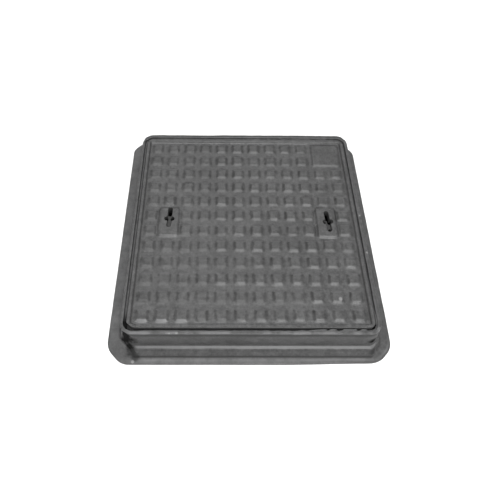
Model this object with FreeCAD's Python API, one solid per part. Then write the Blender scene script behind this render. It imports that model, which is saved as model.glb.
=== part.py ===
import FreeCAD, Part
import os
from FreeCAD import Vector as V

# Square access cover of cast iron, lying loose in its cast frame.
# Origin: centre of the frame's underside. +Z up, +Y away from the viewer.

# ---- driving dimensions (mm) ----
BASE_SIZE = 400.0          # overall width of the base flange
BASE_CUT = {"near": 22.5, "back": 16.0}    # leg of the flange's cut corners
BASE_CUT_R = {"near": 26.0, "back": 20.0}  # rounding at each end of the cut corner
FLANGE_T = 4.5             # flange thickness
FLANGE_EDGE_R = 1.6        # rounding of the flange's upper edge
HEIGHT = 52.0              # underside of the flange to the rim

SKIRT_LOW = (367.0, 381.0)     # lower skirt at the flange, across and in depth; it stands out in front and at the back
SKIRT_LOW_CUT = 23.0           # its cut corner there
SKIRT_TOP = (361.0, 366.4)     # lower skirt at the ledge
SKIRT_TOP_CUT = 14.0
LEDGE_TOP = (355.0, 355.0)     # inner line of the ledge, inside the wall
LEDGE_TOP_CUT = 12.0
LEDGE_LOW_Z = 13.8         # outer edge of the sloped ledge
LEDGE_RISE = 4.05          # rise of the ledge up to the wall
LEDGE_EDGE_R = 1.4         # rounding of its outer edge

WALL_LOW = 357.5           # upright wall at the ledge
WALL_TOP = 354.5           # upright wall at the rim
WALL_R = 17.0              # its corner radius
RIM_EDGE_R = 2.0           # rounding of the rim's outer edge

RECESS = 341.8             # recess that takes the cover
RECESS_R = 12.0
SEAT_Z = 38.0              # height of the seat
SEAT_T = 7.0               # thickness of the seat ledge
OPENING = 300.0            # clear opening inside the seat
OPENING_R = 14.0
CAVITY_TOP = 341.0         # inside of the frame under the seat
CAVITY_LOW = 364.0         # inside of the frame at the underside
CAVITY_KNEE_Z = 14.0       # height where the inside starts to flare
CAVITY_R = 14.0
SEAT_SLOPE = 8.0           # height of the sloped support under the seat

COVER = 337.0              # cover size
COVER_R = 8.5
COVER_EDGE_R = 1.2         # rounding of the cover's upper edge
PLATE_T = 8.5              # plate under the ground of the pattern
RELIEF = 3.0               # height of tiles, pads and border
BORDER_W = 4.6             # raised border
BAND_IN = 304.0            # inner size of the thick bearing band
RIB_CLEAR = 296.0          # ribs stay inside this square
RIB_W = 9.0
RIB_DEPTH = 16.0
RIB_X = (-74.0, 0.0, 74.0)             # ribs that run along the depth
RIB_Y = (-111.0, -37.0, 37.0, 111.0)   # ribs that run across, clear of the keyholes

PITCH = 27.0               # tile spacing
TILES = 12                 # tiles each way
TILE_TOP = 12.0            # tile width at its top
TILE_FOOT = 20.4           # and at its foot
PAD_X = 4.5 * PITCH        # keyhole pads, centred on a tile column
PAD_Y = {-1: 2.5, 1: 1.0}  # left and right pad, off the middle
PAD_W, PAD_L = 28.0, 49.0  # pad at its top
PAD_FOOT = 2.2             # slope of the pad's sides
KEY_Y = {-1: 8.0, 1: 2.0}  # left and right keyhole, off the middle
KEY_L, KEY_W = 36.0, 6.4   # long slot of the keyhole
KEY_ARM_L, KEY_ARM_W = 15.0, 6.6
CORNER_PAD = 42.2          # plain pad in the far right corner


def rounded_square(size, r, z):
    """Closed wire: square of the given size with rounded corners at height z."""
    h = size / 2.0
    k = h - r
    edges = []
    corners = ((k, k, 0), (-k, k, 90), (-k, -k, 180), (k, -k, 270))
    for i, (cx, cy, a0) in enumerate(corners):
        c = Part.Circle(V(cx, cy, z), V(0, 0, 1), r)
        arc = Part.Arc(c, FreeCAD.Units.Quantity(a0, "deg").getValueAs("rad").Value,
                       FreeCAD.Units.Quantity(a0 + 90, "deg").getValueAs("rad").Value)
        edges.append(arc.toShape())
        nx, ny, na = corners[(i + 1) % 4]
        p = arc.EndPoint
        if na in (90, 270):
            q = V(nx, ny + r if na == 90 else ny - r, z)
        else:
            q = V(nx - r if na == 180 else nx + r, ny, z)
        edges.append(Part.LineSegment(p, q).toShape())
    return Part.Wire(edges)


def cut_rect(size, leg, z, back=None):
    """Closed wire: rectangle (across, in depth) with its corners cut at 45 degrees; back is the cut of the two far corners."""
    a, b = size[0] / 2.0, size[1] / 2.0
    back = leg if back is None else back
    pts = [V(a - leg, -b, z), V(a, leg - b, z), V(a, b - back, z), V(a - back, b, z),
           V(back - a, b, z), V(-a, b - back, z), V(-a, leg - b, z), V(leg - a, -b, z)]
    return Part.makePolygon(pts + [pts[0]])


def prism(wire, height):
    return Part.Face(wire).extrude(V(0, 0, height))


def loft(a, b):
    return Part.makeLoft([a, b], True, True)


def edges_at(shape, z, half=None):
    out = []
    for e in shape.Edges:
        b = e.BoundBox
        if abs(b.ZMin - z) < 1e-4 and abs(b.ZMax - z) < 1e-4:
            if half is None or max(abs(b.XMin), abs(b.XMax), abs(b.YMin), abs(b.YMax)) > half:
                out.append(e)
    return out


# ---- frame ----
flange = prism(cut_rect((BASE_SIZE, BASE_SIZE), BASE_CUT["near"], 0.0, BASE_CUT["back"]), FLANGE_T)
for end, sign in (("near", -1.0), ("back", 1.0)):
    uprights = [e for e in flange.Edges
                if e.BoundBox.XLength < 1e-3 and e.BoundBox.YLength < 1e-3 and sign * e.BoundBox.Center.y > 0
                and abs(e.BoundBox.Center.x) > BASE_SIZE / 4.0]
    flange = flange.makeFillet(BASE_CUT_R[end], uprights)
flange = flange.makeFillet(FLANGE_EDGE_R, edges_at(flange, FLANGE_T))

skirt = loft(cut_rect(SKIRT_LOW, SKIRT_LOW_CUT, FLANGE_T - 0.5),
             cut_rect(SKIRT_TOP, SKIRT_TOP_CUT, LEDGE_LOW_Z))
ledge = loft(cut_rect(SKIRT_TOP, SKIRT_TOP_CUT, LEDGE_LOW_Z),
             cut_rect(LEDGE_TOP, LEDGE_TOP_CUT, LEDGE_LOW_Z + LEDGE_RISE))
skirt = skirt.fuse(ledge).removeSplitter()
skirt = skirt.makeFillet(LEDGE_EDGE_R, edges_at(skirt, LEDGE_LOW_Z))

wall = loft(rounded_square(WALL_LOW, WALL_R, LEDGE_LOW_Z - 1.0),
            rounded_square(WALL_TOP, WALL_R, HEIGHT))
wall = wall.makeFillet(RIM_EDGE_R, edges_at(wall, HEIGHT))

frame = flange.fuse([skirt, wall]).removeSplitter()

recess = prism(rounded_square(RECESS, RECESS_R, SEAT_Z), HEIGHT)
opening = prism(rounded_square(OPENING, OPENING_R, -10.0), HEIGHT + 20.0)
cavity_low = loft(rounded_square(CAVITY_LOW, CAVITY_R, -0.01),
                  rounded_square(CAVITY_TOP, CAVITY_R, CAVITY_KNEE_Z))
seat_under = SEAT_Z - SEAT_T
cavity_mid = prism(rounded_square(CAVITY_TOP, CAVITY_R, CAVITY_KNEE_Z),
                   seat_under - SEAT_SLOPE - CAVITY_KNEE_Z)
cavity_up = loft(rounded_square(CAVITY_TOP, CAVITY_R, seat_under - SEAT_SLOPE),
                 rounded_square(OPENING + 10.0, CAVITY_R, seat_under))
frame = frame.cut(recess).cut(opening).cut(cavity_low).cut(cavity_mid).cut(cavity_up)
frame = frame.removeSplitter()
inner_rim = [e for e in edges_at(frame, HEIGHT)
             if max(abs(e.BoundBox.XMin), abs(e.BoundBox.XMax),
                    abs(e.BoundBox.YMin), abs(e.BoundBox.YMax)) < RECESS / 2.0 + 0.1]
frame = frame.makeFillet(1.0, inner_rim)

# ---- cover ----
ground_z = HEIGHT - RELIEF
plate_low = ground_z - PLATE_T
rim_block = prism(rounded_square(COVER, COVER_R, SEAT_Z), HEIGHT - SEAT_Z)
rim_block = rim_block.makeFillet(COVER_EDGE_R, edges_at(rim_block, HEIGHT))
field = loft(rounded_square(COVER - 2 * BORDER_W - 2.4, COVER_R - 4.5, ground_z),
             rounded_square(COVER - 2 * BORDER_W + 0.0, COVER_R - 3.5, HEIGHT + 0.01))
below = prism(rounded_square(BAND_IN, 10.0, SEAT_Z - 1.0), plate_low - SEAT_Z + 1.0)
cover = rim_block.cut(field).cut(below)

ribs = []
half_rib = RIB_CLEAR / 2.0
for s in RIB_Y:
    ribs.append(Part.makeBox(RIB_CLEAR, RIB_W, RIB_DEPTH + 1.0,
                             V(-half_rib, s - RIB_W / 2.0, plate_low - RIB_DEPTH)))
for s in RIB_X:
    ribs.append(Part.makeBox(RIB_W, RIB_CLEAR, RIB_DEPTH + 1.0,
                             V(s - RIB_W / 2.0, -half_rib, plate_low - RIB_DEPTH)))


def frustum(cx, cy, w, d, slope):
    """Raised pad: top w by d at the rim's height, sides running out by slope."""
    def ring(a, b, z):
        p = [V(cx - a, cy - b, z), V(cx + a, cy - b, z), V(cx + a, cy + b, z), V(cx - a, cy + b, z)]
        return Part.makePolygon(p + [p[0]])
    drop = 1.0
    out = slope * (RELIEF + drop) / RELIEF
    return loft(ring(w / 2.0 + out, d / 2.0 + out, ground_z - drop), ring(w / 2.0, d / 2.0, HEIGHT))


raised = []
mid = (TILES - 1) / 2.0
for i in range(TILES):
    for j in range(TILES):
        x, y = (i - mid) * PITCH, (j - mid) * PITCH
        if i in (1, TILES - 2) and j in (TILES // 2 - 1, TILES // 2):
            continue
        if i >= TILES - 2 and j >= TILES - 2:
            continue
        raised.append(frustum(x, y, TILE_TOP, TILE_TOP, (TILE_FOOT - TILE_TOP) / 2.0))
for sx in (-1, 1):
    raised.append(frustum(sx * PAD_X, PAD_Y[sx], PAD_W, PAD_L, PAD_FOOT))
raised.append(frustum((mid - 0.5) * PITCH, (mid - 0.5) * PITCH, CORNER_PAD, CORNER_PAD, PAD_FOOT))

cover = cover.fuse(ribs + raised).removeSplitter()


def slot(cx, cy, length, width, along_y):
    """Through cutter with round ends."""
    z0, dz = SEAT_Z - 40.0, HEIGHT
    r = width / 2.0
    s = length / 2.0 - r
    if along_y:
        body = Part.makeBox(width, 2 * s, dz, V(cx - r, cy - s, z0))
        ends = [Part.makeCylinder(r, dz, V(cx, cy + t * s, z0)) for t in (-1, 1)]
    else:
        body = Part.makeBox(2 * s, width, dz, V(cx - s, cy - r, z0))
        ends = [Part.makeCylinder(r, dz, V(cx + t * s, cy, z0)) for t in (-1, 1)]
    return body.fuse(ends)


for sx in (-1, 1):
    key = slot(sx * PAD_X, KEY_Y[sx], KEY_L, KEY_W, True).fuse(
        slot(sx * PAD_X, KEY_Y[sx], KEY_ARM_L, KEY_ARM_W, False)).removeSplitter()
    key.translate(V(0, 0, 20.0))
    cover = cover.cut(key)

# ---- output ----
os.makedirs("parts", exist_ok=True)
for name, shape in (("frame", frame), ("cover", cover)):
    solids = shape.Solids
    if len(solids) != 1:
        raise RuntimeError("%s has %d solids" % (name, len(solids)))
    body = solids[0]
    if not body.isValid():
        raise RuntimeError("%s is not valid" % name)
    body.exportStep("parts/%s.step" % name)
    b = body.BoundBox
    print(name, "faces", len(body.Faces), "kg %.2f" % (body.Volume * 7.2e-6),
          "x %.1f %.1f y %.1f %.1f z %.1f %.1f" % (b.XMin, b.XMax, b.YMin, b.YMax, b.ZMin, b.ZMax))
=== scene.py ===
import math
import bpy
import bmesh
import numpy as np
from mathutils import Matrix, Vector


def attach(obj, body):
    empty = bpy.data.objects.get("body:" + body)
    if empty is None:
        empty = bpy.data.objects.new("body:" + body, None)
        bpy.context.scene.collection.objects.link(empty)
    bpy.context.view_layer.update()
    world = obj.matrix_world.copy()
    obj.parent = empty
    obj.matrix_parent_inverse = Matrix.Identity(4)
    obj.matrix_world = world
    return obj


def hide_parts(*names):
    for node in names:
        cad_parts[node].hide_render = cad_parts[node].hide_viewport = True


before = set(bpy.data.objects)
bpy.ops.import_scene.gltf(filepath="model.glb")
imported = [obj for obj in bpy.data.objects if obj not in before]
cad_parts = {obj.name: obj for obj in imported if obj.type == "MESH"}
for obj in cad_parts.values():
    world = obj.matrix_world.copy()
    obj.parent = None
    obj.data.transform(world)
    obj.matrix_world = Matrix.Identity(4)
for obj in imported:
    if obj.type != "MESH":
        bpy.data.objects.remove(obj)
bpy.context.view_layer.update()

MM = 0.001

# ------------------------------------------------------------------ dimensions (mm), as in the part
HEIGHT = 52.0
RELIEF = 3.0
GROUND = HEIGHT - RELIEF
PITCH, TILES = 27.0, 12
MID = (TILES - 1) / 2.0
TILE_HALF, TILE_RUN = 6.0, 4.2
COVER_HALF, COVER_R, COVER_R_NEAR = 168.45, 8.5, 12.5    # the near left corner is rounder
SEAT_Z = 38.0
PLATE_LOW = GROUND - 8.5
PAD_X, PAD_HW, PAD_HL, PAD_RUN = 4.5 * PITCH, 14.0, 24.5, 3.2
PAD_Y = {-1: 2.5, 1: 1.0}
CORNER_C, CORNER_H = (MID - 0.5) * PITCH, 21.1
RIB_X = (-74.0, 0.0, 74.0)
RIB_Y = (-111.0, -37.0, 37.0, 111.0)
RIB_TIP = PLATE_LOW - 16.0


# ------------------------------------------------------------------ noise
def _hash(ix, iy, iz, seed):
    h = (ix * 374761393 + iy * 668265263 + iz * 1274126177 + seed * 974634777) & 0xFFFFFFFF
    h = ((h ^ (h >> 13)) * 1103515245 + 12345) & 0xFFFFFFFF
    h = ((h ^ (h >> 15)) * 747796405) & 0xFFFFFFFF
    h = h ^ (h >> 16)
    return (h & 0xFFFFFF) / float(0xFFFFFF) * 2.0 - 1.0


def noise(p, wave, seed):
    """Smooth value noise in -1..1 at points p (n, 3), wavelength in mm."""
    q = p / wave
    i = np.floor(q).astype(np.int64)
    f = q - i
    w = f * f * f * (f * (f * 6 - 15) + 10)
    out = np.zeros(len(p))
    for dx in (0, 1):
        wx = w[:, 0] if dx else 1 - w[:, 0]
        for dy in (0, 1):
            wy = w[:, 1] if dy else 1 - w[:, 1]
            for dz in (0, 1):
                wz = w[:, 2] if dz else 1 - w[:, 2]
                out += wx * wy * wz * _hash(i[:, 0] + dx, i[:, 1] + dy, i[:, 2] + dz, seed)
    return out


def skin(p, seed):
    """As-cast surface: slow waviness and sand grain, in mm."""
    return (0.11 * noise(p, 31.0, seed) + 0.13 * noise(p, 12.0, seed + 1)
            + 0.06 * noise(p, 5.5, seed + 2) + 0.03 * noise(p, 2.2, seed + 3))


def smin(a, b, k):
    h = np.clip(0.5 + 0.5 * (b - a) / k, 0.0, 1.0)
    return b * (1 - h) + a * h - k * h * (1 - h)


def smax(a, b, k):
    return -smin(-a, -b, k)


def sdf_box(x, y, hx, hy, r):
    qx, qy = np.abs(x) - (hx - r), np.abs(y) - (hy - r)
    return np.hypot(np.maximum(qx, 0), np.maximum(qy, 0)) + np.minimum(np.maximum(qx, qy), 0) - r


def slope(d, run, top_k=0.34, foot_k=0.42):
    """Height 0..1 of a raised pad at distance d outside its top edge, with rounded edge and foot."""
    t = 1.0 - d / run
    return smax(smin(t, np.ones_like(t), top_k), np.zeros_like(t), foot_k)


def thin(values, gap):
    out = []
    for v in sorted(values):
        if not out or v - out[-1] >= gap:
            out.append(v)
    return np.array(out)


def make_object(name, verts, faces, attrs=None):
    me = bpy.data.meshes.new(name)
    me.from_pydata((np.asarray(verts) * MM).tolist(), [], faces)
    me.update()
    for key, val in (attrs or {}).items():
        a = me.attributes.new(key, "FLOAT", "POINT")
        a.data.foreach_set("value", np.asarray(val, dtype=np.float32))
    ob = bpy.data.objects.new(name, me)
    bpy.context.scene.collection.objects.link(ob)
    return ob


# ------------------------------------------------------------------ cover
def cover_lines(extra):
    v = set()
    for i in range(TILES):
        c = (i - MID) * PITCH
        for o in (0, 2.6, 4.6, 5.5, 6.3, 7.2, 8.1, 9.0, 9.9, 11.2):
            v.add(round(c + o, 3))
            v.add(round(c - o, 3))
    for i in range(TILES - 1):
        v.add(round((i - MID + 0.5) * PITCH, 3))
    for b in (160.7, 161.9, 162.7, 163.4, 164.1, 164.8, 166.0, 167.0, 167.6, 168.1, 168.35, COVER_HALF):
        v.add(b)
        v.add(-b)
    for e in extra:
        v.add(round(e, 3))
    a = np.array(sorted(v))
    # keep every line that is not crowded by its neighbour
    keep = [a[0]]
    for x in a[1:]:
        if x - keep[-1] >= (0.33 if abs(x) < 160 else 0.08):
            keep.append(x)
    return np.array(keep)


def corner_r(x, y):
    return np.where((x < 0) & (y < 0), COVER_R_NEAR, COVER_R)


def round_corner(x, y, half, r):
    """Moves points of a square of the given half size onto one with rounded corners."""
    k = half - r
    a, b = (np.abs(x) - k) / r, (np.abs(y) - k) / r
    m = (a > 0) & (b > 0)
    ac, bc = np.clip(a, 0, 1), np.clip(b, 0, 1)
    nx = np.where(m, np.sign(x) * (k + r * ac * np.sqrt(1 - bc * bc / 2)), x)
    ny = np.where(m, np.sign(y) * (k + r * bc * np.sqrt(1 - ac * ac / 2)), y)
    return nx, ny


rng = np.random.default_rng(20)
TILE_SHIFT = rng.uniform(-0.38, 0.38, (2, TILES, TILES))
TILE_GROW = rng.uniform(-0.30, 0.22, (TILES, TILES))
TILE_TURN = rng.normal(0, 0.012, (TILES, TILES))
TILE_TALL = rng.uniform(0.74, 1.0, (TILES, TILES))
TILE_TILT = rng.normal(0, 0.02, (2, TILES, TILES))
# painted highlight on each tile's front, strength per tile
TILE_HIGHLIGHT = rng.uniform(0.0, 0.50, (TILES, TILES))
TILE_HIGHLIGHT[:4] *= 0.45
TILE_HIGHLIGHT[:9, 1] *= 0.1
TILE_HIGHLIGHT[4:9, 3] *= 0.5
TILE_HIGHLIGHT[4, 0] = 0.0
TILE_HIGHLIGHT[0:3, 0] = (2.6, 2.4, 1.5)
# how dark each tile's left side, right side and a line on its top behind the front edge are painted
TILE_DARKEN = rng.uniform(0.15, 1.0, (3, TILES, TILES))
# tile fronts painted darker to dim their highlight: towards the left, in the second row, and one in the first
TILE_FRONT_DIM = np.zeros((TILES, TILES))
TILE_FRONT_DIM[:4] = 0.30
TILE_FRONT_DIM[4:9, 3] = 0.28
TILE_FRONT_DIM[:9, 1] = 0.48
TILE_FRONT_DIM[:3, 0] = 0.0
TILE_FRONT_DIM[4, 0] = 0.40
# relief is fainter in the near left part of the field, as in a worn mould
for _i in range(TILES):
    for _j in range(TILES):
        _w = math.exp(-(((_i - 1.3) / 2.0) ** 2 + ((_j - 2.6) / 1.7) ** 2))
        TILE_TALL[_i, _j] *= 1.0 - 0.34 * _w
PLAIN = {(1, 5), (1, 6), (10, 5), (10, 6), (10, 10), (10, 11), (11, 10), (11, 11)}


def tile_shift(x, y):
    """Each tile sits a little off its place; the ground between follows smoothly."""
    fx, fy = x / PITCH + MID, y / PITCH + MID
    ix, iy = np.clip(np.floor(fx), 0, TILES - 2).astype(int), np.clip(np.floor(fy), 0, TILES - 2).astype(int)

    def ease(f):
        t = np.clip((f - 0.37) / 0.26, 0, 1)
        return t * t * (3 - 2 * t)
    wx, wy = ease(fx - ix), ease(fy - iy)
    out = []
    for s in TILE_SHIFT:
        out.append((1 - wx) * (1 - wy) * s[ix, iy] + wx * (1 - wy) * s[ix + 1, iy]
                   + (1 - wx) * wy * s[ix, iy + 1] + wx * wy * s[ix + 1, iy + 1])
    fade = np.clip((160.0 - np.maximum(np.abs(x), np.abs(y))) / 4.0, 0, 1)
    return out[0] * fade, out[1] * fade


def cover_top(x, y, wx, wy):
    """Height, wear and painted highlight, soil and painted shade of the cover's upper side; x, y on the even grid, wx,
    wy where the point really lies.
    """
    ti = np.clip(np.rint(x / PITCH + MID), 0, TILES - 1).astype(int)
    tj = np.clip(np.rint(y / PITCH + MID), 0, TILES - 1).astype(int)
    lx, ly = x - (ti - MID) * PITCH, y - (tj - MID) * PITCH
    c, s = np.cos(TILE_TURN[ti, tj]), np.sin(TILE_TURN[ti, tj])
    rx, ry = c * lx + s * ly, c * ly - s * lx
    half = TILE_HALF + TILE_GROW[ti, tj]
    ragged = 0.50 * noise(np.stack([wx, wy, 0 * wx], 1), 6.5, 71) + 0.22 * noise(np.stack([wx, wy, 0 * wx], 1), 2.6, 72)
    d = sdf_box(rx, ry, half, half, 1.6) + ragged
    tile = slope(d, TILE_RUN) * TILE_TALL[ti, tj]
    tile = tile + np.where(d < 0.4, (TILE_TILT[0, ti, tj] * rx + TILE_TILT[1, ti, tj] * ry) * 0.12, 0) * (tile > 0.5)
    plain = np.zeros(len(x), bool)
    for i, j in PLAIN:
        plain |= (ti == i) & (tj == j)
    tile = np.where(plain, 0.0, tile)
    edge = np.where(plain, 99.0, d)
    h = tile
    for cx, cy, hx, hy, tall in ((-PAD_X, PAD_Y[-1] - 1.0, PAD_HW, PAD_HL - 1.0, 0.9), (PAD_X, PAD_Y[1], PAD_HW, PAD_HL, 0.97),
                                 (CORNER_C, CORNER_C, CORNER_H, CORNER_H, 0.9)):
        dp = sdf_box(x - cx, y - cy, hx, hy, 2.0) + 0.7 * ragged
        near = dp < 6.0
        h = np.where(near, np.maximum(np.where(dp < 2.2, h * np.clip((dp - 0.6) / 1.6, 0, 1), h),
                                      slope(dp, PAD_RUN) * tall), h)
        edge = np.where(dp < 4.0, np.minimum(edge, dp), edge)
    din = -sdf_box(wx, wy, COVER_HALF, COVER_HALF, corner_r(wx, wy))
    # along the near side the border runs out gently into the ground
    near = np.clip((-wy - 150.0) / 8.0, 0, 1) * np.clip((160.0 - np.abs(wx)) / 6.0, 0, 1)
    border = slope((din - 4.5 + 0.6 * ragged) / (1.0 + 2.2 * near), 1.5)
    h = np.maximum(h, border * (0.985 - 0.6 * near))
    edge = np.minimum(edge, din - 4.5)
    z = GROUND + RELIEF * h
    r = 1.0
    t = np.clip(r - din, 0, r)
    z = z - (r - np.sqrt(np.maximum(r * r - t * t, 0)))
    # sides of the tiles: painted highlight on the fronts, backs painted pale against their shade, painted shade on the
    # left and right sides
    side = np.clip((edge + 0.6) / 1.2, 0, 1) * np.clip((4.6 - edge) / 1.4, 0, 1) * (din > 6.2)
    spread = np.clip((edge + 1.4) / 2.4, 0, 1) * np.clip((5.8 - edge) / 3.0, 0, 1) * (din > 6.2)
    cloud = np.clip(0.62 + 0.75 * noise(np.stack([wx, wy, 0 * wx], 1), 9.0, 91) + 0.35 * noise(np.stack([wx, wy, 0 * wx], 1), 4.0, 92), 0.1, 1.15)
    sx = np.clip((np.abs(rx) - np.abs(ry)) / 1.6 + 0.5, 0, 1)
    off = wx / COVER_HALF
    taper = np.clip(1.25 - (np.abs(rx) / 9.6) ** 3, 0.25, 1.0)
    # painted highlight on the fronts, painted paleness on the backs against their shade
    wear_and_highlight = side * (1 - sx) * np.where(ry < 0, TILE_HIGHLIGHT[ti, tj] * taper, 0.9)
    # painted shade on the left and right sides of the tiles
    soil_and_shade = spread * sx * cloud * np.where(rx < 0, (0.72 + 0.62 * off) * TILE_DARKEN[0, ti, tj] ** 0.6, (0.30 - 0.30 * off) * TILE_DARKEN[1, ti, tj] ** 0.7)
    # a dark line on the tile top just behind its front edge
    soil_and_shade = np.maximum(soil_and_shade, 0.6 * TILE_DARKEN[2, ti, tj] * np.exp(-((ry + 3.9) / 1.2) ** 2) * np.clip((6.4 - np.abs(rx)) / 1.5, 0, 1))
    soil_and_shade = np.maximum(soil_and_shade, TILE_FRONT_DIM[ti, tj] * side * (1 - sx) * (ry < 0))
    ends = np.where(y < -20.0, 0.7, np.where((y < 20.0) | (y > 60.0), 0.15, 0.9))
    wear_and_highlight, soil_and_shade = np.where(plain, ends * side, wear_and_highlight), np.where(plain, 0.08 * side * cloud, soil_and_shade)
    wear_and_highlight = np.maximum(wear_and_highlight, np.exp(-((din - 1.2) / 0.9) ** 2) * 0.2 * (1 - near))
    soil_and_shade = np.maximum(soil_and_shade, 0.7 * np.clip((1.2 - din) / 0.8, 0, 1))
    # soil along the foot of the border, at the two sides
    across = np.clip((np.abs(wx) - np.abs(wy)) / 6.0, 0, 1)
    wide = 1.2 + 0.8 * np.clip((-wy - 70.0) / 40.0, 0, 1) * (wx > 0)
    soil_and_shade = np.maximum(soil_and_shade, np.exp(-((din - 6.4) / wide) ** 2) * across * 0.8)
    wear_and_highlight = np.maximum(wear_and_highlight, 0.4 * near * np.exp(-((din - 7.5) / 2.2) ** 2) * (edge > 1.0))
    return z, h, wear_and_highlight, soil_and_shade


def cover_under(x, y, wx, wy):
    din = -sdf_box(wx, wy, COVER_HALF, COVER_HALF, corner_r(wx, wy))
    band = slope(din - 15.6, 1.2)
    z = PLATE_LOW - (PLATE_LOW - SEAT_Z) * band
    rib = np.zeros(len(x))
    for c in RIB_X:
        rib = np.maximum(rib, slope(np.maximum(np.abs(x - c) - 3.6, (np.abs(y) - 146.8) * 0.8), 0.9, 0.1, 0.12))
    for c in RIB_Y:
        rib = np.maximum(rib, slope(np.maximum(np.abs(y - c) - 3.6, (np.abs(x) - 146.8) * 0.8), 0.9, 0.1, 0.12))
    return np.minimum(z, PLATE_LOW - (PLATE_LOW - RIB_TIP) * rib)


def grid_index(n, m):
    return np.arange(n * m).reshape(n, m)


def ring_of(idx):
    """Boundary of an index grid, counter-clockwise seen from above."""
    return np.concatenate([idx[:-1, 0], idx[-1, :-1], idx[:0:-1, -1], idx[0, :0:-1]])


def zipper(a, ta, b, tb):
    """Triangles between two closed loops a and b with parameters ta, tb in 0..1, both starting at 0."""
    faces, i, j, na, nb = [], 0, 0, len(a), len(b)
    while i < na or j < nb:
        na_t = ta[i + 1] if i + 1 < na else 1.0
        nb_t = tb[j + 1] if j + 1 < nb else 1.0
        if i < na and (j >= nb or na_t <= nb_t):
            faces.append((a[i % na], b[j % nb], a[(i + 1) % na]))
            i += 1
        else:
            faces.append((a[i % na], b[j % nb], b[(j + 1) % nb]))
            j += 1
    return faces


def perimeter_param(x, y):
    """Position round a square as 0..1, starting at its low-x, low-y corner."""
    h = np.max(np.abs(np.concatenate([x, y])))
    u, v = (x + h) / (2 * h), (y + h) / (2 * h)
    t = np.where(np.isclose(v, 0), u, np.where(np.isclose(u, 1), 1 + v, np.where(np.isclose(v, 1), 3 - u, 4 - v)))
    t[0] = 0.0
    return t / 4.0


def build_cover():
    ex = [s * PAD_X + t * o for s in (-1, 1) for t in (-1, 1) for o in (14.1, 14.9, 15.7, 16.5, 17.3)]
    ey = [t * o for t in (-1, 1) for o in (25.1, 25.9, 26.7, 27.5, 28.3, 29.2)]
    xs, ys = cover_lines(ex), cover_lines(ey)
    gx, gy = np.meshgrid(xs, ys, indexing="ij")
    x, y = gx.ravel(), gy.ravel()
    sx, sy = tile_shift(x, y)
    wx, wy = round_corner(x + sx, y + sy, COVER_HALF, corner_r(x, y))
    z, h, wear_and_highlight, soil_and_shade = cover_top(x, y, wx, wy)
    wy = wy + 2.3 * np.clip((-wy - 159.5) / 4.5, 0, 1)     # the near edge stands a little further in
    top = np.stack([wx, wy, z], 1)
    inner = np.clip((COVER_HALF - np.maximum(np.abs(x), np.abs(y))) / 1.5, 0, 1)
    bumpy = skin(np.stack([wx, wy, np.zeros_like(z)], 1), 3)
    top[:, 2] += (bumpy * (0.75 + 0.6 * (1 - np.clip(h, 0, 1))) - 0.16) * inner
    top[:, 2] = np.minimum(top[:, 2], HEIGHT - 0.02)
    idx = grid_index(len(xs), len(ys))
    verts, a_wear_and_highlight, a_soil_and_shade = [top], [wear_and_highlight], [soil_and_shade]
    count = len(top)
    faces = []
    a, b, c, d = idx[:-1, :-1].ravel(), idx[1:, :-1].ravel(), idx[1:, 1:].ravel(), idx[:-1, 1:].ravel()
    faces += np.stack([a, b, c, d], 1).tolist()
    # sides
    loop = ring_of(idx)
    prev = loop
    for zz, inset in ((48.0, 0.05), (44.0, 0.25), (40.0, 0.5), (38.7, 0.6)):
        px, py = top[loop, 0] * (1 - inset / COVER_HALF), top[loop, 1] * (1 - inset / COVER_HALF)
        p = np.stack([px, py, np.full(len(loop), zz)], 1)
        verts.append(p)
        n = len(p)
        a_wear_and_highlight.append(np.full(n, 0.9)); a_soil_and_shade.append(np.zeros(n))
        cur = np.arange(count, count + n)
        count += n
        nxt, pn = np.roll(cur, -1), np.roll(prev, -1)
        faces += np.stack([prev, cur, nxt, pn], 1).tolist()
        prev = cur
    # underside
    bl = set()
    for b_ in (167.2, 166.4, 163.0, 158.0, 153.4, 152.4, 151.2, 149.6, 148.2, 147.2, 146.2):
        bl |= {b_, -b_}
    bx, by = set(bl), set(bl)
    for cset, rs in ((bx, RIB_X), (by, RIB_Y)):
        for r_ in rs:
            for o in (0, 2.6, 3.5, 3.9, 4.3, 4.7, 6.0):
                cset |= {r_ + o, r_ - o}
        for g in np.arange(-140, 141, 7.0):
            cset.add(float(g))
    bx, by = thin(bx, 0.3), thin(by, 0.3)
    gx2, gy2 = np.meshgrid(bx, by, indexing="ij")
    x2, y2 = gx2.ravel(), gy2.ravel()
    wx2, wy2 = round_corner(x2, y2, 167.2, corner_r(x2, y2))
    z2 = cover_under(x2, y2, wx2, wy2)
    low = np.stack([wx2, wy2, z2], 1)
    mid2 = np.clip((166.0 - np.maximum(np.abs(x2), np.abs(y2))) / 3, 0, 1)
    free = np.clip((151.0 - np.maximum(np.abs(x2), np.abs(y2))) / 3, 0, 1)
    low[:, 2] += (skin(low, 11) * 1.3 + 0.2) * mid2 * free
    verts.append(low)
    n = len(low)
    a_wear_and_highlight.append(np.zeros(n)); a_soil_and_shade.append(np.full(n, 0.5))
    idx2 = grid_index(len(bx), len(by)) + count
    a, b, c, d = idx2[:-1, :-1].ravel(), idx2[1:, :-1].ravel(), idx2[1:, 1:].ravel(), idx2[:-1, 1:].ravel()
    faces += np.stack([d, c, b, a], 1).tolist()
    loop2 = ring_of(idx2)
    t1 = perimeter_param(x[loop], y[loop])
    t2 = perimeter_param(x2[loop2 - count], y2[loop2 - count])
    faces += [tuple(int(v) for v in f) for f in zipper(prev, t1, loop2, t2)]
    ob = make_object("cover_casting", np.concatenate(verts), faces,
                     {"wear_and_highlight": np.concatenate(a_wear_and_highlight), "soil_and_shade": np.concatenate(a_soil_and_shade), "shade_and_soot": np.zeros(sum(map(len, verts)))})
    return ob


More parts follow.
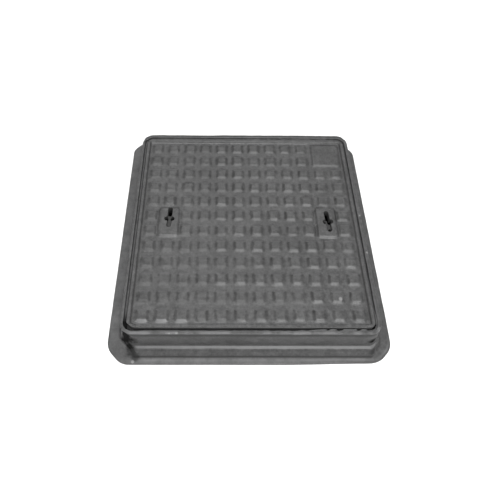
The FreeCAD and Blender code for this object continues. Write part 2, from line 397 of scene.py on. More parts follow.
def key_outline(grow, arm_y, n=7):
    """Cross-shaped keyhole, counter-clockwise, grown outward by the given amount; arms off the middle by arm_y."""
    lw, ll, aw, al = 3.2 + grow, 18.0 + grow, 3.3 + grow, 7.5 + grow
    pts = []

    def arc(cx, cy, rx, a0, a1):
        for k in range(n + 1):
            a = math.radians(a0 + (a1 - a0) * k / n)
            pts.append((cx + rx * math.cos(a), cy + rx * math.sin(a)))
    arc(al - aw, arm_y, aw, -90, 90)
    pts.append((lw, arm_y + aw))
    arc(0, ll - lw, lw, 0, 180)
    pts.append((-lw, arm_y + aw))
    arc(-(al - aw), arm_y, aw, 90, 270)
    pts.append((-lw, arm_y - aw))
    arc(0, -(ll - lw), lw, 180, 360)
    pts.append((lw, arm_y - aw))
    return pts


def long_hole(x, y0, y1, half, n=8):
    """Round-ended slot from y0 to y1, counter-clockwise."""
    pts = []
    for cy, a0 in ((y1 - half, 0), (y0 + half, 180)):
        for k in range(n + 1):
            a = math.radians(a0 + 180.0 * k / n)
            pts.append((x + half * math.cos(a), cy + half * math.sin(a)))
    return pts


def stack_rings(loops, place, turn):
    """Closed solid through loops of (height, outline)."""
    verts, faces = [], []
    co, si = math.cos(turn), math.sin(turn)
    for z, pts in loops:
        for px, py in pts:
            verts.append((place[0] + co * px - si * py, place[1] + si * px + co * py, z))
    n = len(verts) // len(loops)
    for r in range(len(loops) - 1):
        for k in range(n):
            a, b = r * n + k, r * n + (k + 1) % n
            faces.append((a, b, b + n, a + n))
    faces.append(tuple(range(n - 1, -1, -1)))
    faces.append(tuple(range((len(loops) - 1) * n, len(loops) * n)))
    return make_object("key_cutter", verts, faces)


def cut_keyholes(ob):
    # place, turn, arms, and the parts that are open; the rest is packed with soil near the top
    keys = (((-PAD_X + 0.8, 8.6), math.radians(-2.0), -2.6,
             [(0.0, 3.0, 17.7, 2.95), (-4.6, -5.9, 0.9, 2.9), (4.6, -6.2, 1.2, 3.1)]),
            ((PAD_X + 2.0, 2.2), math.radians(4.0), -0.6,
             [(0.2, 1.5, 17.7, 2.95), (2.6, -4.9, 4.2, 3.5), (-5.0, -2.6, 1.6, 2.1), (0.4, -16.9, -12.3, 2.0)]))
    for place, turn, arm_y, holes in keys:
        flare = ((48.2, -0.6), (49.2, -0.2), (50.4, 0.1), (51.2, 0.4), (51.8, 0.8), (52.6, 0.95), (56.0, 0.95))
        cutters = [stack_rings([(z, key_outline(g, arm_y)) for z, g in flare], place, turn)]
        for x, y0, y1, half in holes:
            loops = [(z, long_hole(x, y0, y1, half)) for z in (20.0, 50.3)]
            cutters.append(stack_rings(loops, place, turn))
        for cutter in cutters:
            m = ob.modifiers.new("key", "BOOLEAN")
            m.operation, m.solver, m.object = "DIFFERENCE", "EXACT", cutter
            dg = bpy.context.evaluated_depsgraph_get()
            me = bpy.data.meshes.new_from_object(ob.evaluated_get(dg), depsgraph=dg)
            ob.modifiers.clear()
            old = ob.data
            ob.data = me
            bpy.data.meshes.remove(old)
            bpy.data.objects.remove(cutter)
    # join points that the cuts leave on top of each other
    bm = bmesh.new()
    bm.from_mesh(ob.data)
    bmesh.ops.remove_doubles(bm, verts=bm.verts, dist=0.02 * MM)
    bmesh.ops.dissolve_degenerate(bm, dist=0.01 * MM, edges=bm.edges)
    bmesh.ops.triangulate(bm, faces=[f for f in bm.faces if len(f.verts) > 4])
    bm.to_mesh(ob.data)
    bm.free()
    # soil on the floor of the pockets, painted shade black further down
    me = ob.data
    n = len(me.vertices)
    co = np.empty(n * 3, dtype=np.float32)
    me.vertices.foreach_get("co", co)
    co = co.reshape(-1, 3) / MM
    vals = {k: np.empty(n, dtype=np.float32) for k in ("wear_and_highlight", "soil_and_shade", "shade_and_soot")}
    for k, v in vals.items():
        me.attributes[k].data.foreach_get("value", v)
    for place, turn, arm_y, _ in keys:
        px, py = co[:, 0] - place[0], co[:, 1] - place[1]
        px, py = math.cos(turn) * px + math.sin(turn) * py, math.cos(turn) * py - math.sin(turn) * px
        d = np.minimum(sdf_box(px, py, 3.2, 18.0, 3.1), sdf_box(px, py - arm_y, 7.5, 3.3, 3.2))
        m = (d < 0.6) & (co[:, 2] < 51.0)
        vals["wear_and_highlight"][m] = 0.0
        vals["soil_and_shade"][m] = 0.85
        vals["shade_and_soot"][m] = np.where(co[m, 2] < 47.5, 1.0, 0.12)
    for k, v in vals.items():
        me.attributes[k].data.foreach_set("value", v)
    me.update()


# ------------------------------------------------------------------ frame
N_SIDE, N_CORNER = 118, 22


def corner_round(half, r):
    k = half - r
    a = np.linspace(0, math.pi / 2, N_CORNER)
    return np.stack([k + r * np.cos(a), k + r * np.sin(a)], 1), k


def corner_cut(half, leg, r):
    s = half - leg
    t = r * math.tan(math.radians(22.5))
    ang = np.linspace(0, math.radians(45), 40)
    c1 = np.array([half - r, s - t])
    arc1 = np.stack([c1[0] + r * np.cos(ang), c1[1] + r * np.sin(ang)], 1)
    arc2 = arc1[::-1, ::-1]
    path = np.concatenate([arc1, arc2])
    seg = np.concatenate([[0], np.cumsum(np.hypot(*np.diff(path, axis=0).T))])
    q = np.linspace(0, seg[-1], N_CORNER)
    return np.stack([np.interp(q, seg, path[:, 0]), np.interp(q, seg, path[:, 1])], 1), s - t


def ring(hx, hy, z, kind):
    """Closed section of the frame at height z; corners run back right, back left, near left, near right."""
    legs = kind[1] if isinstance(kind[1], tuple) else (kind[1],) * 4
    bends = kind[-1] if isinstance(kind[-1], tuple) else (kind[-1],) * 4
    corners = []
    for leg, bend in zip(legs, bends):
        c, k = corner_round(400.0, leg) if kind[0] == "r" else corner_cut(400.0, leg, bend)
        corners.append((c - 400.0, 400.0 - k))
    t = np.linspace(-1, 1, N_SIDE + 2)[1:-1]
    out = []
    for q in range(4):
        a, b = (hx, hy) if q % 2 == 0 else (hy, hx)
        off, back = corners[q]
        lo, hi = -(b - corners[q - 1][1]), b - back
        side = np.stack([np.full(N_SIDE, a), lo + (t + 1) / 2 * (hi - lo)], 1)
        p = np.concatenate([side, np.array([a, b]) + off])
        for _ in range(q):
            p = np.stack([-p[:, 1], p[:, 0]], 1)
        out.append(p)
    xy = np.concatenate(out)
    return np.concatenate([xy, np.full((len(xy), 1), z)], 1)


# name, half width, half depth, height, corner, rounding along the section, steps to the next key
FRAME_KEYS = [
    ("base", 199.95, 199.95, 0.05, ("c", (17.0, 15.0, 22.0, 23.0), (22.0, 20.0, 26.0, 28.0)), 0.7, 3),
    ("flange", 199.95, 199.95, 4.2, ("c", (17.0, 15.0, 22.0, 23.0), (22.0, 20.0, 26.0, 28.0)), 1.6, 9),
    ("skirt", 183.4, 190.4, 5.0, ("c", (24.0, 24.0, 26.0, 16.0), 3.0), 1.3, 6),
    ("ledge", 180.4, 182.7, 14.3, ("c", (14.0, 14.0, 14.4, 12.0), 3.0), 0.9, 4),
    ("wall", 178.4, 178.0, 17.6, ("r", (17.0, 19.0, 17.0, 17.0)), 1.1, 16),
    ("rim", 176.7, 176.3, 51.95, ("r", (17.0, 19.0, 17.0, 17.0)), 1.2, 3),
    ("lip", 171.0, 171.3, 51.95, ("r", 11.5), 1.2, 3),
    ("soil", 171.0, 171.3, 47.0, ("r", 11.5), 0.6, 1),
    ("soil_edge", 169.05, 169.05, 46.4, ("r", 9.6), 0.8, 2),
    ("seat", 169.05, 169.05, 38.0, ("r", 9.6), 0.8, 8),
    ("seat_edge", 150.2, 150.2, 38.0, ("r", 14.0), 1.0, 3),
    ("seat_low", 150.2, 150.2, 31.1, ("r", 14.0), 1.0, 2),
    ("hang", 155.2, 155.2, 31.1, ("r", 14.0), 1.5, 5),
    ("inside", 170.4, 170.4, 23.0, ("r", 14.0), 2.5, 3),
    ("knee", 170.4, 170.4, 14.0, ("r", 14.0), 2.5, 5),
    ("foot", 181.8, 181.8, 0.05, ("r", 14.0), 0.8, 5),
]
# painted highlight stretches along the near rim, also standing for rubbed coat: from, to, strength
RIM_RUB_AND_HIGHLIGHT = [(-165, -132, 1.5), (-116, -97, 1.5), (-91, -77, 0.7), (-73, -26, 1.1), (13, 28, 1.0), (37, 54, 0.9), (54, 81, 1.7),
            (81, 122, 1.1), (134, 150, 1.3), (156, 163, 1.0), (166, 176, 1.1)]


# painted shade, near black, at the near corners: centre, half axes, strength, softness of its outline
SHADE_PATCHES = [
    ((-177.0, -174.0, 31.0), (20.0, 16.0, 22.0), 1.0, 0.34),
    ((167.0, -175.5, 28.0), (7.0, 6.0, 8.0), 1.0, 0.6),
    ((170.0, -183.9, 9.0), (5.5, 5.0, 5.0), 0.55, 0.34),
]
# and painted shade down the near left cut corner of the skirt: two ends, radius, strength
SHADE_STREAK = [((-167.5, -182.0, 12.5), (-158.0, -190.4, 5.5), 11.0, 1.0)]


def build_frame():
    names = [k[0] for k in FRAME_KEYS]
    keys = [(hy, z, ring(hx, hy, z, k), r, n) for _, hx, hy, z, k, r, n in FRAME_KEYS]
    m = len(keys)
    rings, tags = [], []
    for i in range(m):
        h0, z0, p0, r0, n0 = keys[i]
        hp, zp, pp, _, _ = keys[i - 1]
        hn, zn, pn, rn, _ = keys[(i + 1) % m]
        lp, ln = math.hypot(h0 - hp, z0 - zp), math.hypot(hn - h0, zn - z0)
        fp, fn = min(0.45, r0 / lp), min(0.45, r0 / ln)
        a, c = p0 + (pp - p0) * fp, p0 + (pn - p0) * fn
        for t in np.linspace(0, 1, 5):
            rings.append((1 - t) ** 2 * a + 2 * t * (1 - t) * p0 + t * t * c)
            tags.append((names[i], 1.0 - abs(2 * t - 1) * 0.5))
        fe = min(0.45, rn / ln)
        for k in range(1, n0 + 1):
            f = fn + (1 - fe - fn) * k / (n0 + 1)
            rings.append(p0 + (pn - p0) * f)
            tags.append((names[i], 0.0))
    grid = np.stack(rings)                       # ring, sample, xyz
    nr, ns, _ = grid.shape
    # the flange runs out a little narrower towards the near right corner
    t = np.clip((grid[:, :, 0] - 40.0) / 130.0, 0, 1)
    near = np.clip((-grid[:, :, 1] - 191.0) / 8.0, 0, 1) * np.clip((9.0 - grid[:, :, 2]) / 3.0, 0, 1)
    grid[:, :, 1] += 1.9 * t * t * (3 - 2 * t) * near
    # the wall leans a little away from the viewer
    t = np.clip((grid[:, :, 2] - 17.0) / 28.0, 0, 1) * np.clip((np.max(np.abs(grid[:, :, :2]), axis=2) - 168.0) / 2.0, 0, 1)
    grid[:, :, 1] += 1.1 * t * t * (3 - 2 * t)
    # the back edge stands a little further out towards its right end, and the recess is wider at the left
    high = np.clip((grid[:, :, 2] - 17.0) / 28.0, 0, 1)
    t = np.clip((grid[:, :, 0] + 60.0) / 220.0, 0, 1) * high * np.clip((grid[:, :, 1] - 165.0) / 6.0, 0, 1)
    outer = np.clip((np.max(np.abs(grid[:, :, :2]), axis=2) - 172.0) / 3.0, 0, 1)
    t = t + 0.7 * high * np.clip((grid[:, :, 1] - 165.0) / 6.0, 0, 1) * np.clip((grid[:, :, 0] + 60.0) / 20.0, 0, 1) * np.clip((125.0 - grid[:, :, 0]) / 25.0, 0, 1)
    grid[:, :, 1] += (0.8 * t + 1.0 * high * np.clip((grid[:, :, 1] - 165.0) / 6.0, 0, 1)) * outer
    t = np.clip((-grid[:, :, 0] - 168.0) / 2.0, 0, 1) * np.clip((174.5 + grid[:, :, 0]) / 2.5, 0, 1) * np.clip((grid[:, :, 2] - 46.0) / 1.0, 0, 1)
    grid[:, :, 0] -= 1.2 * t
    # more soil in the gap along the near side
    packed = np.array([t[0] in ("lip", "soil", "soil_edge") for t in tags])
    crumb = noise(np.stack([grid[:, :, 0], 0 * t, 0 * t], 2).reshape(-1, 3), 4.5, 95).reshape(nr, ns)
    full = np.clip((grid[:, :, 0] - 75.0) / 25.0, 0, 1)
    crumbs = 1.7 + crumb * (0.8 + 0.9 * np.clip((grid[:, :, 0] - 40.0) / 30.0, 0, 1)) + 1.1 * full
    t = np.clip((np.abs(grid[:, :, 1]) - 163.0) / 3.0, 0, 1) * np.clip((158.0 - np.abs(grid[:, :, 0])) / 6.0, 0, 1)
    t = t * np.where(grid[:, :, 1] > 0, 0.45, 1.0)
    heap = np.clip(crumbs, 0, 3.2 + 0.4 * full) * t
    t = np.clip((30.0 - np.hypot(grid[:, :, 0] - 168.0, grid[:, :, 1] + 168.0)) / 12.0, 0, 1)
    heap = np.maximum(heap, (2.8 + 0.7 * crumb) * t)
    edge = np.array([t[0] == "soil_edge" for t in tags])[:, None] * np.clip((grid[:, :, 2] - 44.5) / 1.5, 0, 1)
    reach = np.clip((crumb + 0.25) / 0.45, 0, 1) * full * np.clip((-grid[:, :, 1] - 163.0) / 3.0, 0, 1)
    grid[:, :, 1] += 1.2 * edge * reach
    t = np.minimum((grid[:, :, 2] - 44.5) / 1.5, (51.2 - grid[:, :, 2]) / 4.2)
    grid[:, :, 2] += heap * packed[:, None] * np.clip(t, 0, 1)
    # normals from neighbours, for the skin
    du = np.roll(grid, -1, 1) - np.roll(grid, 1, 1)
    dv = np.roll(grid, -1, 0) - np.roll(grid, 1, 0)
    nor = np.cross(du, dv)
    nor /= np.maximum(np.linalg.norm(nor, axis=2, keepdims=True), 1e-9)
    flat = grid.reshape(-1, 3)
    amt = skin(flat, 41) * 1.25 + 0.16 * noise(flat, 47.0, 55) - 0.30
    amt = amt.reshape(nr, ns)
    seat = np.array([t[0] in ("soil", "soil_edge", "seat", "seat_edge") for t in tags])
    base = np.array([t[0] in ("foot", "base") for t in tags])
    hollow = np.sqrt((((grid - np.array(SHADE_PATCHES[0][0])) / np.array(SHADE_PATCHES[0][1])) ** 2).sum(2))
    amt = amt - 2.6 * np.clip((1.0 - hollow) / 0.45, 0, 1)
    amt = np.where(seat[:, None], np.clip(amt, -0.2, -0.12), amt)
    amt = np.where(base[:, None], np.minimum(amt * 0.3, -0.02), amt)
    grid = grid + nor * amt[:, :, None]
    grid[:, :, 2] = np.clip(grid[:, :, 2], 0.0, HEIGHT - 0.02)
    grid[:, :, :2] = np.clip(grid[:, :, :2], -199.98, 199.98)
    wear_and_highlight = np.zeros((nr, ns))
    soil_and_shade = np.zeros((nr, ns))
    shade_and_soot = np.zeros((nr, ns))
    gx, gy, gz = grid[:, :, 0], grid[:, :, 1], grid[:, :, 2]
    front = np.clip((np.abs(gy) - 181.0) / 4.0, 0, 1)
    along = np.clip((np.where((gx > 0) & (gy < 0), 176.0, 171.0) - np.abs(gx)) / 5.0, 0, 1)
    uneven = 0.5 + 0.5 * noise(np.stack([gx, 0 * gx, 0 * gx], 2).reshape(-1, 3), 26.0, 81).reshape(nr, ns)
    rim_rub_and_highlight = np.zeros((nr, ns))
    for x0, x1, amount in RIM_RUB_AND_HIGHLIGHT:
        rim_rub_and_highlight += amount * np.clip((gx - x0) / 4.0, 0, 1) * np.clip((x1 - gx) / 4.0, 0, 1)
    rim_of_flange = max(k for k, (i, r) in enumerate(tags) if i == "flange" and r == 1.0)
    inset = np.linalg.norm(grid[:, :, :2] - grid[rim_of_flange][None, :, :2], axis=2)
    near_right = np.clip((gx - 120.0) / 25.0, 0, 1) * np.clip((-gy - 165.0) / 12.0, 0, 1)
    for k, (i, r) in enumerate(tags):
        if i == "ledge":                         # painted highlight along the ledge's face, uneven along its length
            wear_and_highlight[k] = (1.4 + 1.2 * uneven[k]) * along[k] * np.clip((gz[k] - 14.2) / 0.6, 0, 1)
        if i == "rim":                           # rim: painted highlight in stretches along the near side with rubbed coat, sooty at the back
            wear_and_highlight[k] = np.where(gy[k] < -165, rim_rub_and_highlight[k], 0.1)
            shade_and_soot[k] = 0.42 * np.clip((gy[k] - 168.0) / 4.0, 0, 1)
        if i == "flange":                        # flange: pale near strip of dust with painted sheen, left flange painted lighter against the wall's shade, painted highlight and shadow at the near right edge, painted shade at the near left corner
            reach = np.where(gx[k] > 0, np.clip((188.0 - gx[k]) / 8.0, 0, 1), along[k])
            east = np.clip((gx[k] - 60.0) / 60.0, 0, 1)
            wear_and_highlight[k] = 0.2 + 0.06 * near_right[k] + (0.8 + 0.5 * east) * np.exp(-((np.abs(gy[k]) - 195.0 + 1.2 * east) / (2.2 - 0.7 * east)) ** 2) * front[k] * reach
            # left flange painted lighter against the shade of the wall
            wear_and_highlight[k] = np.maximum(wear_and_highlight[k], 0.7 * np.clip((-gx[k] - 180.0) / 4.0, 0, 1) * np.clip((gy[k] + 185.0) / 30.0, 0, 1))
            # painted highlight on the rounded flange edge at the near right
            wear_and_highlight[k] = np.maximum(wear_and_highlight[k], 1.1 * near_right[k] * np.exp(-((inset[k] - 3.6) / 1.8) ** 2))
            # painted shadow on the flange's outer face there
            soil_and_shade[k] = 0.5 * near_right[k] * np.clip((1.6 - inset[k]) / 1.0, 0, 1)
            # painted shade at the near left corner
            shade_and_soot[k] = 0.18 * np.clip((-gx[k] - 145.0) / 25.0, 0, 1) * np.clip((-gy[k] - 140.0) / 25.0, 0, 1)
        if i == "skirt":                         # painted shade at the foot of the skirt and under the ledge
            soil_and_shade[k] = front[k] * np.exp(-((np.abs(gy[k]) - 190.2) / 1.1) ** 2)
            shade_and_soot[k] = 0.34 * soil_and_shade[k] + 0.30 * np.exp(-((gz[k] - 12.4) / 1.0) ** 2)
        if i == "wall":                          # painted shade under the rim, over the wall and more towards its foot
            shade_and_soot[k] = 0.42 * np.exp(-((gz[k] - 46.3) / 4.0) ** 2) + 0.12 + 0.16 * np.clip((24.0 - gz[k]) / 6.0, 0, 1)
        if i in ("lip", "soil", "soil_edge"):    # dust in the gap; painted paler at the front and the right to lift the gap's shade; painted shade at the near left corner
            wear_and_highlight[k] = np.where(gz[k] < 51.0, np.where(np.abs(gy[k]) > 165, np.where(gy[k] > 0, 0.3, 0.9), np.where(gx[k] < 0, -0.2, 0.45)), 0.2)
            # painted shade, near black, in the gap at the near left corner
            shade_and_soot[k] = np.clip((26.0 - np.hypot(gx[k] + 168.0, gy[k] + 168.0)) / 12.0, 0, 1) * (gz[k] < 51.0)
        if i in ("seat", "seat_edge", "seat_low", "hang", "inside", "knee"):
            soil_and_shade[k] = np.maximum(soil_and_shade[k], 0.6)
    shade_and_soot = shade_and_soot.ravel()
    flat = grid.reshape(-1, 3)
    # (uneven outlines)
    rough = 0.10 * noise(flat, 11.0, 63) + 0.17 * noise(flat, 5.0, 61) + 0.12 * noise(flat, 2.2, 62)
    # near-black painted shade at the near corners and down the skirt's cut corner
    for c, ax, amount, soft in SHADE_PATCHES:
        e = np.sqrt((((flat - np.array(c)) / np.array(ax)) ** 2).sum(1)) + rough
        shade_and_soot = np.maximum(shade_and_soot, amount * np.clip((1.12 - e) / soft, 0, 1))
    for a, b, radius, amount in SHADE_STREAK:
        a, b = np.array(a), np.array(b)
        t = np.clip(((flat - a) @ (b - a)) / ((b - a) @ (b - a)), 0, 1)
        e = np.linalg.norm(flat - a - t[:, None] * (b - a), axis=1) / (radius * (1.0 - 0.35 * t)) + rough
        shade_and_soot = np.maximum(shade_and_soot, amount * (1.0 - 0.35 * t) * np.clip((1.1 - e) / 0.5, 0, 1))
    idx = np.arange(nr * ns).reshape(nr, ns)
    up, right = np.roll(idx, -1, 0), np.roll(idx, -1, 1)
    diag = np.roll(up, -1, 1)
    faces = np.stack([idx.ravel(), right.ravel(), diag.ravel(), up.ravel()], 1).tolist()
    return make_object("frame_casting", grid.reshape(-1, 3), faces,
                       {"wear_and_highlight": wear_and_highlight.ravel(), "soil_and_shade": soil_and_shade.ravel(), "shade_and_soot": shade_and_soot})


# ------------------------------------------------------------------ material
def node(nt, kind, x, y, **inputs):
    n = nt.nodes.new(kind)
    n.location = (x, y)
    for k, v in inputs.items():
        n.inputs[k.replace("_", " ")].default_value = v
    return n


# chips where the coat is gone: place in mm and radius
CHIPS = {
    "cover": [((125.7, -124.9, 51.8), 3.0)],
    "frame": [((176.7, 28.0, 51.6), 1.5), ((174.4, 13.0, 52.0), 1.7), ((175.0, -52.1, 51.9), 2.1),
              ((-99.8, -174.2, 52.0), 2.2), ((-109.5, -174.8, 51.9), 1.5), ((-161.7, -196.8, 4.4), 2.4)],
}


def iron(name, chips, level, seed):
    mat = bpy.data.materials.new(name)
    mat.use_nodes = True
    nt = mat.node_tree
    nt.nodes.clear()
    L = nt.links.new
    out = node(nt, "ShaderNodeOutputMaterial", 1700, 0)
    bsdf = node(nt, "ShaderNodeBsdfPrincipled", 1400, 0)
    bsdf.inputs["Metallic"].default_value = 0.0
    bsdf.inputs["Specular IOR Level"].default_value = 0.36
    L(bsdf.outputs[0], out.inputs[0])
    co = node(nt, "ShaderNodeTexCoord", -1500, 0)
    mp = node(nt, "ShaderNodeMapping", -1300, 0)
    mp.inputs["Location"].default_value = (seed * 0.37, seed * 0.11, seed * 0.23)
    L(co.outputs["Object"], mp.inputs["Vector"])

    def tex(scale, detail, rough, y):
        t = node(nt, "ShaderNodeTexNoise", -1000, y)
        t.inputs["Scale"].default_value = scale
        t.inputs["Detail"].default_value = detail
        t.inputs["Roughness"].default_value = rough
        L(mp.outputs[0], t.inputs["Vector"])
        return t.outputs["Fac"]

    def attr(key, y):
        a = node(nt, "ShaderNodeAttribute", -1000, y)
        a.attribute_name = key
        return a.outputs["Fac"]

    def put(sock, v):
        if isinstance(v, bpy.types.NodeSocket):
            L(v, sock)
        else:
            sock.default_value = v

    def ramp(fac, stops, x, y):
        r = node(nt, "ShaderNodeValToRGB", x, y)
        e = r.color_ramp.elements
        while len(e) < len(stops):
            e.new(0.5)
        for el, (pos, c) in zip(e, stops):
            el.position = pos
            el.color = (c, c, c, 1.0)
        L(fac, r.inputs[0])
        return r.outputs["Color"]

    def mix(kind, a, b, fac, x, y):
        m = node(nt, "ShaderNodeMix", x, y)
        m.data_type, m.blend_type = "RGBA", kind
        for sock, v in ((0, fac), (6, a), (7, b)):
            put(m.inputs[sock], v)
        return m.outputs[2]

    def calc(op, a, b, x, y, clamp=False):
        m = node(nt, "ShaderNodeMath", x, y)
        m.operation, m.use_clamp = op, clamp
        put(m.inputs[0], a)
        put(m.inputs[1], b)
        return m.outputs[0]

    def span(v, lo, hi, to_lo, to_hi, x, y):
        r = node(nt, "ShaderNodeMapRange", x, y)
        r.interpolation_type = "SMOOTHSTEP"
        for key, val in (("From Min", lo), ("From Max", hi), ("To Min", to_lo), ("To Max", to_hi)):
            r.inputs[key].default_value = val
        L(v, r.inputs["Value"])
        return r.outputs[0]

    blotch = tex(13.0, 3.0, 0.55, 500)
    stain = tex(60.0, 4.0, 0.6, 250)
    mottle = tex(165.0, 3.0, 0.6, 0)
    grain = tex(420.0, 3.0, 0.6, -250)
    fine = tex(1400.0, 2.0, 0.5, -500)
    # real wear with painted highlight, soil with painted shade, painted shade with soot
    wear_and_highlight, soil_and_shade, shade_and_soot = attr("wear_and_highlight", -750), attr("soil_and_shade", -950), attr("shade_and_soot", -1150)

    # black coat over cast skin, uneven at every scale
    col = ramp(blotch, [(0.30, 0.88 * level), (0.52, 1.0 * level), (0.72, 1.10 * level)], -700, 500)
    col = mix("MULTIPLY", col, ramp(stain, [(0.30, 0.82), (0.50, 1.0), (0.72, 1.18)], -700, 250), 1.0, -400, 400)
    col = mix("MULTIPLY", col, ramp(mottle, [(0.30, 0.72), (0.50, 1.0), (0.70, 1.28)], -700, 0), 1.0, -250, 350)
    col = mix("MULTIPLY", col, ramp(grain, [(0.30, 0.82), (0.50, 1.0), (0.70, 1.18)], -700, -250), 1.0, -100, 300)
    # rubbed and dusty edges, and painted highlights on the tile fronts, the ledge, the near rim and the flange
    patchy = calc("ADD", calc("MULTIPLY", stain, 2.2, -700, -700), -0.5, -550, -700, True)
    patchy = calc("ADD", calc("MULTIPLY", patchy, 0.7, -500, -820), 0.3, -450, -820)
    rub_and_highlight = calc("MULTIPLY", wear_and_highlight, patchy, -400, -700, True)
    pale = 2.4 * level
    col = mix("MIX", col, (pale, pale, pale * 1.01, 1.0), calc("MULTIPLY", rub_and_highlight, 0.7, -250, -700), 100, 250)
    # soil in the feet and the gap, and painted shade on the tile sides, the skirt foot and the flange edge
    col = mix("MIX", col, (0.36 * level, 0.355 * level, 0.35 * level, 1.0), calc("MULTIPLY", soil_and_shade, 0.8, -250, -950), 300, 200)
    # painted shade, near black: the near corners, the wall, under the ledge and deep in the keyholes; soot on the back
    # rim
    col = mix("MIX", col, (0.004, 0.004, 0.004, 1.0), calc("MULTIPLY", shade_and_soot, 0.97, -250, -1150), 500, 150)
    # chips
    jag = calc("MULTIPLY", calc("SUBTRACT", fine, 0.5, -700, -1350), 0.0022, -550, -1350)
    bare = None
    for k, (place, radius) in enumerate(chips):
        d = node(nt, "ShaderNodeVectorMath", -700, -1550 - 180 * k)
        d.operation = "DISTANCE"
        L(co.outputs["Object"], d.inputs[0])
        d.inputs[1].default_value = tuple(c * MM for c in place)
        near = calc("ADD", d.outputs["Value"], jag, -500, -1550 - 180 * k)
        one = span(near, radius * 0.6 * MM, radius * 1.15 * MM, 1.0, 0.0, -300, -1550 - 180 * k)
        bare = one if bare is None else calc("MAXIMUM", bare, one, -100, -1550 - 180 * k)
    col = mix("MIX", col, (0.18, 0.18, 0.18, 1.0), calc("MULTIPLY", bare, 0.85, 100, -1400), 700, 100)
    L(col, bsdf.inputs["Base Color"])

    rough = span(mottle, 0.25, 0.75, 0.30, 0.44, 300, -250)
    rough = calc("ADD", rough, calc("MULTIPLY", soil_and_shade, 0.2, 300, -450), 600, -250)
    rough = calc("ADD", rough, calc("MULTIPLY", shade_and_soot, 0.65, 300, -600), 800, -250, True)
    L(rough, bsdf.inputs["Roughness"])

    pits = node(nt, "ShaderNodeTexVoronoi", -1000, -1400)
    pits.feature = "F1"
    pits.inputs["Scale"].default_value = 330.0
    L(mp.outputs[0], pits.inputs["Vector"])
    pit = ramp(pits.outputs["Distance"], [(0.0, 0.0), (0.28, 0.75), (0.55, 1.0)], -700, -1200)
    hgt = calc("ADD", calc("MULTIPLY", mottle, 0.9, 0, -1000), grain, 150, -1000)
    hgt = calc("ADD", hgt, calc("MULTIPLY", fine, 0.35, 0, -1150), 300, -1050)
    hgt = calc("ADD", hgt, calc("MULTIPLY", pit, 0.30, 0, -1250), 450, -1100)
    bump = node(nt, "ShaderNodeBump", 1000, -500)
    bump.inputs["Strength"].default_value = 0.5
    bump.inputs["Distance"].default_value = 0.0005
    L(hgt, bump.inputs["Height"])
    L(bump.outputs[0], bsdf.inputs["Normal"])
    return mat


def painted_shade_material(name):
    """Near-black matt material for the painted shade at the frame's near corners, crumbly in texture."""
    mat = bpy.data.materials.new(name)
    mat.use_nodes = True
    nt = mat.node_tree
    bsdf = nt.nodes["Principled BSDF"]
    bsdf.inputs["Specular IOR Level"].default_value = 0.06
    co = node(nt, "ShaderNodeTexCoord", -900, 0)
    crumb = node(nt, "ShaderNodeTexNoise", -700, 0, Scale=520.0, Detail=4.0, Roughness=0.65)
    r = node(nt, "ShaderNodeValToRGB", -400, 100)
    for el, c in zip(r.color_ramp.elements, (0.003, 0.012)):
        el.color = (c, c, c * 0.97, 1.0)
    r.color_ramp.elements[0].position, r.color_ramp.elements[1].position = 0.35, 0.75
    ro = node(nt, "ShaderNodeMapRange", -400, -150)
    ro.inputs["To Min"].default_value, ro.inputs["To Max"].default_value = 0.82, 1.0
    bump = node(nt, "ShaderNodeBump", -200, -350, Strength=0.6, Distance=0.0008)
    for a, b in ((co.outputs["Object"], crumb.inputs["Vector"]), (crumb.outputs["Fac"], r.inputs[0]), (r.outputs[0], bsdf.inputs["Base Color"]),
                 (crumb.outputs["Fac"], ro.inputs["Value"]), (ro.outputs[0], bsdf.inputs["Roughness"]),
                 (crumb.outputs["Fac"], bump.inputs["Height"]), (bump.outputs[0], bsdf.inputs["Normal"])):
        nt.links.new(a, b)
    return mat


def smooth(ob):
    me = ob.data
    me.polygons.foreach_set("use_smooth", np.ones(len(me.polygons), dtype=bool))
    me.update()


cover = build_cover()
cut_keyholes(cover)
cover.data.set_sharp_from_angle(angle=math.radians(52.0))
frame_ob = build_frame()
for ob, node_name, slot, level, seed in ((cover, "cover", "cover_iron", 0.052, 1.0),
                                         (frame_ob, "frame", "frame_iron", 0.051, 5.0)):
    smooth(ob)
    ob.data.materials.clear()
    ob.data.materials.append(iron("iron_" + node_name, CHIPS[node_name], level, seed))
    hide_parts(node_name)
    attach(ob, "root")

# the blackest painted-shade faces of the frame take the near-black matt material
black = np.empty(len(frame_ob.data.vertices), dtype=np.float32)
frame_ob.data.attributes["shade_and_soot"].data.foreach_get("value", black)
corner = np.empty(len(frame_ob.data.loops), dtype=np.int32)
frame_ob.data.loops.foreach_get("vertex_index", corner)
black = black[corner].reshape(-1, 4).min(axis=1) > 0.93
frame_ob.data.materials.append(painted_shade_material("deposit_black"))
frame_ob.data.polygons.foreach_set("material_index", black.astype(np.int32))
frame_ob.data.update()

# ------------------------------------------------------------------ floor
bm = bmesh.new()
bmesh.ops.create_grid(bm, x_segments=8, y_segments=8, size=3.0)
fm = bpy.data.meshes.new("floor")
bm.to_mesh(fm)
bm.free()
floor = bpy.data.objects.new("floor", fm)
bpy.context.scene.collection.objects.link(floor)
fmat = bpy.data.materials.new("floor_pale")
fmat.use_nodes = True
fb = fmat.node_tree.nodes["Principled BSDF"]
fn_ = fmat.node_tree.nodes.new("ShaderNodeTexNoise")
fn_.inputs["Scale"].default_value = 3.0
fr = fmat.node_tree.nodes.new("ShaderNodeValToRGB")
fr.color_ramp.elements[0].color = (0.86, 0.86, 0.86, 1)
fr.color_ramp.elements[1].color = (0.90, 0.90, 0.90, 1)
fmat.node_tree.links.new(fn_.outputs["Fac"], fr.inputs[0])
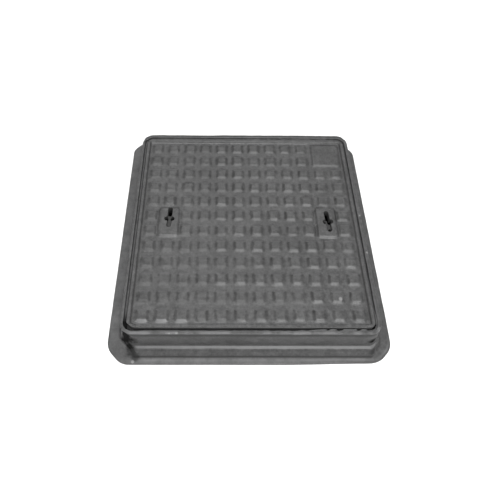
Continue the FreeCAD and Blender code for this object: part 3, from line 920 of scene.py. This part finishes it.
# painted shade: the floor near black inside the frame, for the dark pit below the opening
fco = fmat.node_tree.nodes.new("ShaderNodeTexCoord")
fab = fmat.node_tree.nodes.new("ShaderNodeVectorMath")
fab.operation = "ABSOLUTE"
fse = fmat.node_tree.nodes.new("ShaderNodeSeparateXYZ")
fmx = fmat.node_tree.nodes.new("ShaderNodeMath")
fmx.operation = "MAXIMUM"
fin = fmat.node_tree.nodes.new("ShaderNodeMath")
fin.operation = "LESS_THAN"
fin.inputs[1].default_value = 0.176
floor_pit_shade = fmat.node_tree.nodes.new("ShaderNodeMix")
floor_pit_shade.data_type = "RGBA"
floor_pit_shade.inputs[7].default_value = (0.02, 0.018, 0.016, 1)
for src, dst in ((fco.outputs["Object"], fab.inputs[0]), (fab.outputs[0], fse.inputs[0]), (fse.outputs[0], fmx.inputs[0]),
                 (fse.outputs[1], fmx.inputs[1]), (fmx.outputs[0], fin.inputs[0]), (fin.outputs[0], floor_pit_shade.inputs[0]),
                 (fr.outputs[0], floor_pit_shade.inputs[6]), (floor_pit_shade.outputs[2], fb.inputs["Base Color"])):
    fmat.node_tree.links.new(src, dst)
fb.inputs["Roughness"].default_value = 0.9
fb.inputs["Specular IOR Level"].default_value = 0.1
fm.materials.append(fmat)

# ------------------------------------------------------------------ light
world = bpy.data.worlds.new("studio")
bpy.context.scene.world = world
world.use_nodes = True
bg = world.node_tree.nodes["Background"]
bg.inputs["Color"].default_value = (1.0, 1.0, 1.0, 1)
bg.inputs["Strength"].default_value = 0.5


def softbox(name, azimuth, elevation, dist, width, power, height=None):
    """Area light; azimuth 0 is in front of the object, 90 to its right."""
    a, e = math.radians(azimuth), math.radians(elevation)
    d = Vector((math.sin(a) * math.cos(e), -math.cos(a) * math.cos(e), math.sin(e)))
    data = bpy.data.lights.new(name, "AREA")
    data.shape, data.size, data.size_y, data.energy = "RECTANGLE", width, height or width, power
    ob = bpy.data.objects.new(name, data)
    ob.location = d * dist
    ob.rotation_mode = "QUATERNION"
    ob.rotation_quaternion = d.to_track_quat("Z", "Y")
    bpy.context.scene.collection.objects.link(ob)
    return ob


softbox("key_front", 14.0, 50.0, 2.0, 0.9, 30.0)
softbox("top", 0.0, 88.0, 2.0, 0.9, 6.0)
softbox("back", 180.0, 55.0, 2.0, 0.9, 7.0)
softbox("left_high", -60.0, 68.0, 2.0, 0.9, 14.0)
softbox("right_high", 60.0, 68.0, 2.0, 0.9, 6.0)

# ------------------------------------------------------------------ camera
F_PX, CX, CY = 506.63, 228.0, 178.0
yaw, pitch, roll = math.radians(-1.558), math.radians(52.794), math.radians(-1.611)
cam_data = bpy.data.cameras.new("camera")
cam = bpy.data.objects.new("camera", cam_data)
bpy.context.scene.collection.objects.link(cam)
rz = Matrix(((math.cos(yaw), math.sin(yaw), 0), (-math.sin(yaw), math.cos(yaw), 0), (0, 0, 1)))
level = Matrix(((1, 0, 0), (0, 0, -1), (0, 1, 0)))
rx = Matrix(((1, 0, 0), (0, math.cos(pitch), -math.sin(pitch)), (0, math.sin(pitch), math.cos(pitch))))
rr_ = Matrix(((math.cos(roll), math.sin(roll), 0), (-math.sin(roll), math.cos(roll), 0), (0, 0, 1)))
view = rr_ @ rx @ level @ rz
rot = Matrix((view[0], -view[1], -view[2])).transposed()
cam.matrix_world = Matrix.Translation((-0.04389, -0.41645, 0.66011 + HEIGHT * MM)) @ rot.to_4x4()
cam_data.sensor_fit, cam_data.sensor_width = "HORIZONTAL", 36.0
cam_data.lens = 36.0 * F_PX / 500.0
cam_data.shift_x, cam_data.shift_y = (250.0 - CX) / 500.0, -(250.0 - CY) / 500.0
cam_data.clip_start, cam_data.clip_end = 0.01, 50.0
cam_data.dof.use_dof = False
bpy.context.scene.camera = cam
bpy.context.scene.view_settings.view_transform = "Standard"
bpy.context.scene.view_settings.look = "None"
